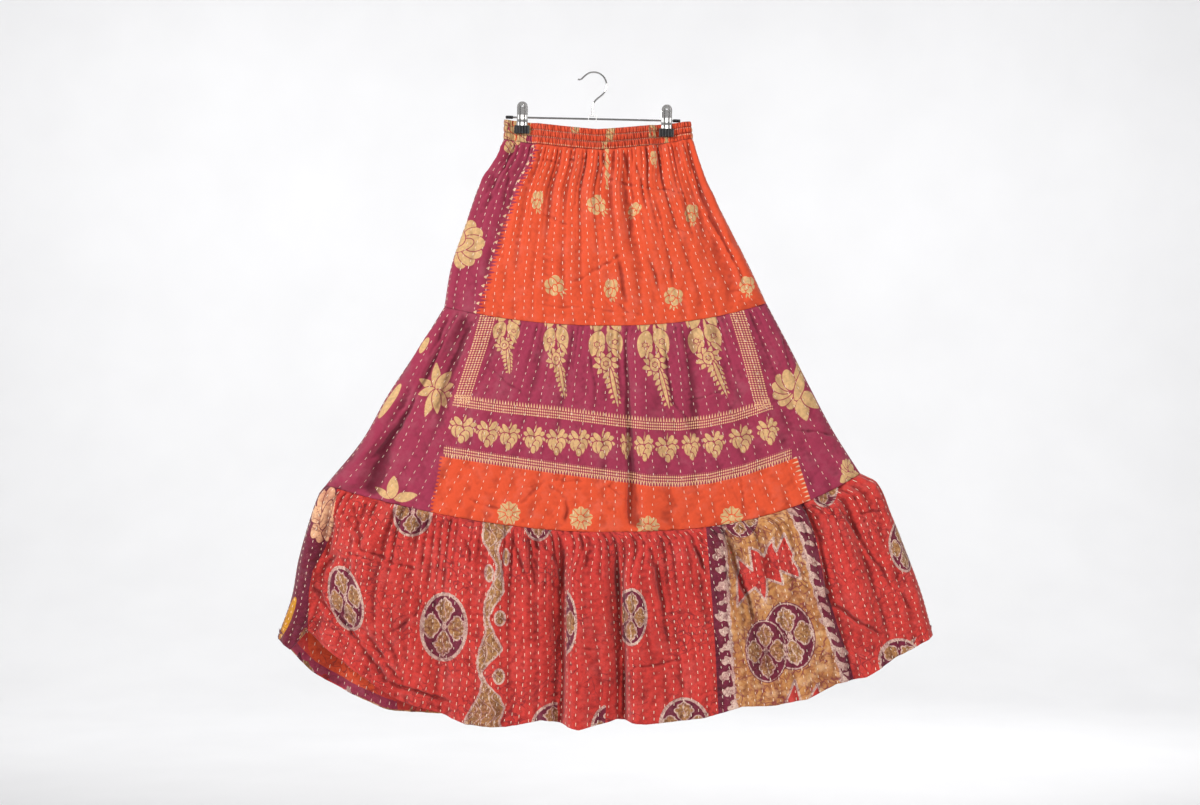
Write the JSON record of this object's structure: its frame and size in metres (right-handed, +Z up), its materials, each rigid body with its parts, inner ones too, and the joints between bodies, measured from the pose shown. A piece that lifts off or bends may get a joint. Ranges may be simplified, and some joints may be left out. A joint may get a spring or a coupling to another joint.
{
  "type": "tiered skirt on a two-clip hanger",
  "caption": "Long gathered skirt of quilted printed cotton in stacked flared tiers, hung flat by its elastic waist from a wire hanger with clips.",
  "frame": {"origin": "under the top of the hanger's hook, on the inside of the wire, where a rail or nail carries it", "axes": "+Z up, +X to the right as the skirt's back is seen, -Y towards that viewer: the skirt's back faces -Y and its front +Y"},
  "size_m": [1.015, 0.1354, 1.0075],
  "materials": {
    "orange_print": "matt printed cotton with cream running stitch",
    "plum_print": "matt printed cotton with cream running stitch",
    "red_batik": "matt crackle-dyed cotton with cream running stitch",
    "chrome": "bright plated steel",
    "black_rubber": "satin moulded rubber"
  },
  "bodies": {
    "root": {"waistband": "orange_print", "upper_tier_back": "orange_print", "upper_tier_front": "orange_print", "middle_tier_back": "plum_print", "middle_tier_front": "plum_print", "lower_tier_back": "red_batik", "lower_tier_front": "red_batik", "hem_facing_front": "plum_print", "hanger_hook": "chrome", "hanger_bar": "chrome", "hanger_bracket": "chrome", "bar_cap_left": "black_rubber", "bar_cap_right": "black_rubber", "clip_left_spring": "chrome", "clip_left_jaw_front": "chrome", "clip_left_grip_front": "black_rubber", "clip_left_jaw_back": "chrome", "clip_left_grip_back": "black_rubber", "clip_right_spring": "chrome", "clip_right_jaw_front": "chrome", "clip_right_grip_front": "black_rubber", "clip_right_jaw_back": "chrome", "clip_right_grip_back": "black_rubber"}
  },
  "joints": []
}
